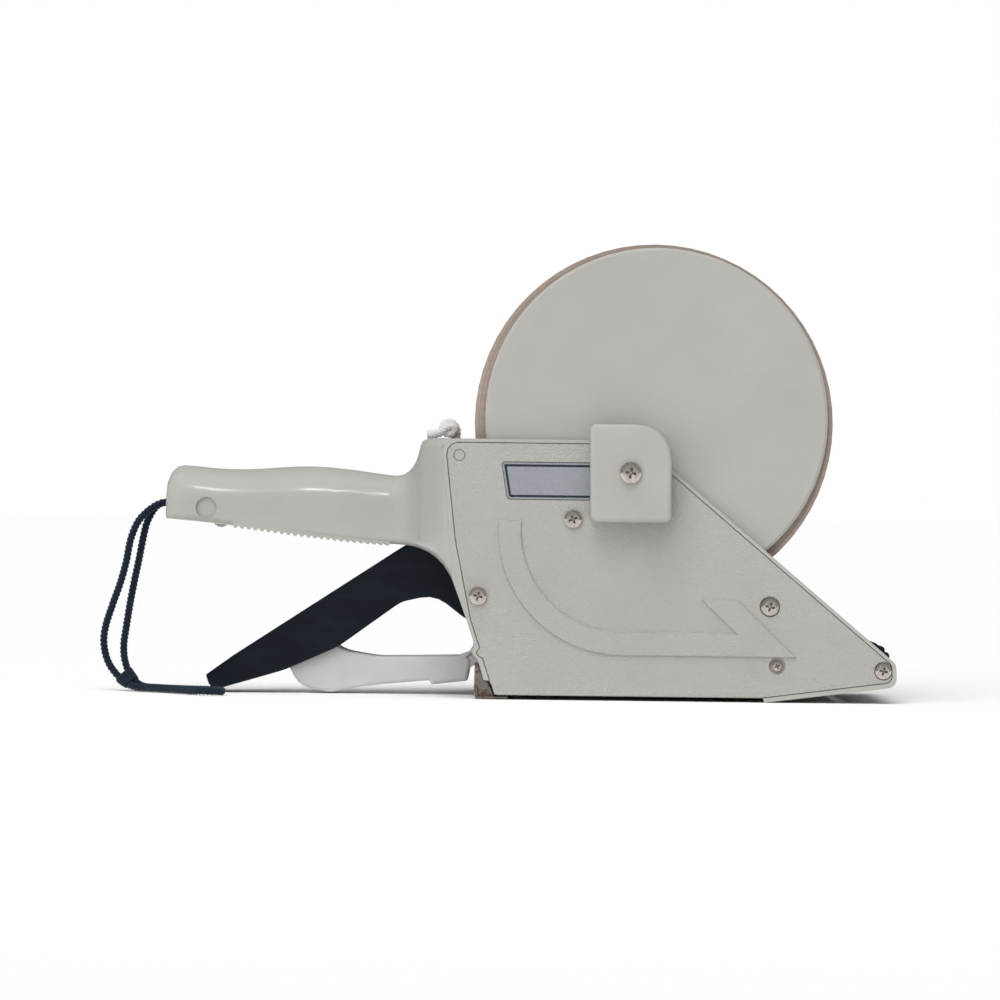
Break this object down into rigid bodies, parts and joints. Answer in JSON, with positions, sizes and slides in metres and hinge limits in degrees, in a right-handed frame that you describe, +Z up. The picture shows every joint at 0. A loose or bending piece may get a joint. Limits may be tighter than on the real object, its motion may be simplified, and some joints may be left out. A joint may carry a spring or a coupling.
{
  "type": "price labeling gun",
  "caption": "Hand-held label applicator with a trigger handle, a roll between guard discs, a web path between two side walls and a pressing roller at the nose.",
  "frame": {"origin": "on the standing surface, under the middle of the gun measured without its wrist strap", "axes": "+X from the handle to the nose, +Y from the near to the far side, +Z up"},
  "size_m": [0.3584, 0.1422, 0.2038],
  "materials": {
    "shell_plastic": "glossy moulded, warm light grey",
    "cover_plastic": "fine leather-grain texture",
    "disc_plastic": "fine matt",
    "name_plate": "blank printed label, satin",
    "screw_steel": "bright nickel plated",
    "shaft_steel": "ground",
    "sheet_steel": "worn, slightly rusty sheet",
    "trigger_plastic": "satin blue-black",
    "lever_plastic": "milky white, smooth",
    "black_rubber": "matt",
    "gear_plastic": "natural acetal",
    "kraft_paper": "brown kraft paper, wound edges",
    "label_paper": "white coated paper",
    "navy_cord": "twisted cord",
    "white_cord": "braided cord"
  },
  "bodies": {
    "frame": {"frame_near": "shell_plastic", "frame_far": "shell_plastic", "web_chute": "shell_plastic", "base_plate": "shell_plastic", "nose_hood": "shell_plastic", "cover_near": "cover_plastic", "cover_far": "cover_plastic", "reel_disc_near": "disc_plastic", "reel_disc_far": "disc_plastic", "clamp_block_near": "disc_plastic", "clamp_block_far": "disc_plastic", "name_plate_near": "name_plate", "name_plate_far": "name_plate", "cover_screw_top_near": "screw_steel", "cover_screw_top_far": "screw_steel", "cover_screw_pivot_near": "screw_steel", "cover_screw_pivot_far": "screw_steel", "cover_screw_guide_near": "screw_steel", "cover_screw_guide_far": "screw_steel", "cover_screw_small_near": "screw_steel", "cover_screw_small_far": "screw_steel", "cover_screw_nose_near": "screw_steel", "cover_screw_nose_far": "screw_steel", "block_screw_near": "screw_steel", "block_screw_far": "screw_steel", "handle_screw": "screw_steel", "trigger_shaft": "shaft_steel", "guide_shaft": "shaft_steel", "tension_shaft": "shaft_steel", "lever_pin": "shaft_steel", "nose_axle": "shaft_steel", "strap_pin": "shaft_steel", "trigger_spring": "shaft_steel", "lever_spring": "shaft_steel", "tear_off_bracket": "sheet_steel", "peel_plate": "sheet_steel", "backing_web": "kraft_paper", "label_web": "label_paper", "wrist_strap": "navy_cord", "hanging_cord": "white_cord", "cord_knot": "white_cord"},
    "trigger": {"trigger": "trigger_plastic", "trigger_hub": "gear_plastic", "sector_gear": "gear_plastic"},
    "drum": {"feed_drum": "black_rubber", "drum_shaft": "shaft_steel", "drum_pinion": "gear_plastic", "one_way_bearing": "shaft_steel"},
    "lever": {"release_lever": "lever_plastic"},
    "pressure_rollers": {"pressure_axle": "shaft_steel", "pressure_roller_near": "black_rubber", "pressure_roller_far": "black_rubber"},
    "reel": {"label_roll": "kraft_paper", "roll_core": "kraft_paper"},
    "applicator": {"applicator_roller": "black_rubber"},
    "guide_roller": {"guide_roller": "gear_plastic"},
    "tension_roller": {"tension_roller": "gear_plastic"}
  },
  "joints": [
    {"name": "trigger_pull", "type": "hinge", "parent": "frame", "child": "trigger", "pos_m": [-0.0218, 0, 0.046], "axis": [0, 1, 0], "range_deg": [0, 26], "stiffness_Nm_per_rad": 0.4, "springref_deg": -28.65},
    {"name": "drum_feed", "type": "hinge", "parent": "frame", "child": "drum", "pos_m": [0.00648, 0, 0.01772], "axis": [0, 1, 0], "range_deg": [-105, 0]},
    {"name": "lever_release", "type": "hinge", "parent": "frame", "child": "lever", "pos_m": [-0.0197, 0, 0.0211], "axis": [0, 1, 0], "range_deg": [-18, 0], "stiffness_Nm_per_rad": 0.1, "springref_deg": 22.92},
    {"name": "pressure_spin", "type": "hinge", "parent": "lever", "child": "pressure_rollers", "pos_m": [-0.00476, 0, 0.02896], "axis": [0, 1, 0], "continuous": true},
    {"name": "reel_spin", "type": "hinge", "parent": "frame", "child": "reel", "pos_m": [0.0558, 0, 0.1238], "axis": [0, 1, 0], "continuous": true},
    {"name": "applicator_spin", "type": "hinge", "parent": "frame", "child": "applicator", "pos_m": [0.1535, 0, 0.0178], "axis": [0, 1, 0], "continuous": true},
    {"name": "guide_spin", "type": "hinge", "parent": "frame", "child": "guide_roller", "pos_m": [0.1082, 0, 0.0427], "axis": [0, 1, 0], "continuous": true},
    {"name": "tension_spin", "type": "hinge", "parent": "frame", "child": "tension_roller", "pos_m": [0.1117, 0, 0.0164], "axis": [0, 1, 0], "continuous": true}
  ],
  "couplings": [
    {"joint": "drum_feed", "follows": "trigger_pull", "ratio": -4}
  ]
}
